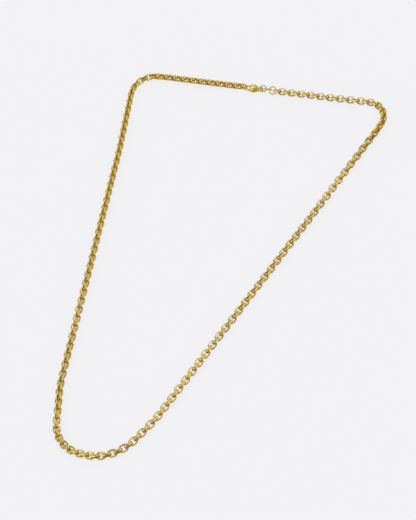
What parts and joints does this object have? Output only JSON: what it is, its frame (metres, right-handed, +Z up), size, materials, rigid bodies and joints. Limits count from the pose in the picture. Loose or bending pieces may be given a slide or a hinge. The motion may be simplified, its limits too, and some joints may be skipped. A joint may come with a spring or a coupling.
{
  "type": "square link chain necklace",
  "caption": "Gold-coloured neck chain of rounded square links bent from a flat band, closed by a lobster clasp on jump rings.",
  "frame": {"origin": "on the surface that the necklace lies on, under the middle of its bounding box", "axes": "+Z up from the surface, +Y from the front of the loop towards the clasp at the back of the neck, X across the loop"},
  "size_m": [0.144, 0.2272, 0.0041],
  "materials": {
    "gold": "polished"
  },
  "bodies": {
    "necklace": {"chain_first_half": "gold", "chain_second_half": "gold", "ring_on_hook": "gold", "ring_by_clasp": "gold", "middle_ring": "gold", "ring_by_chain": "gold", "clasp_body": "gold", "clasp_pin": "gold"},
    "lever": {"clasp_lever": "gold"}
  },
  "joints": [
    {"name": "lever_hinge", "type": "hinge", "parent": "necklace", "child": "lever", "pos_m": [-0.00359, 0.11051, 0.0013], "axis": [0, 0, 1], "range_deg": [0, 20], "stiffness_Nm_per_rad": 0.00086, "springref_deg": -20.05}
  ]
}
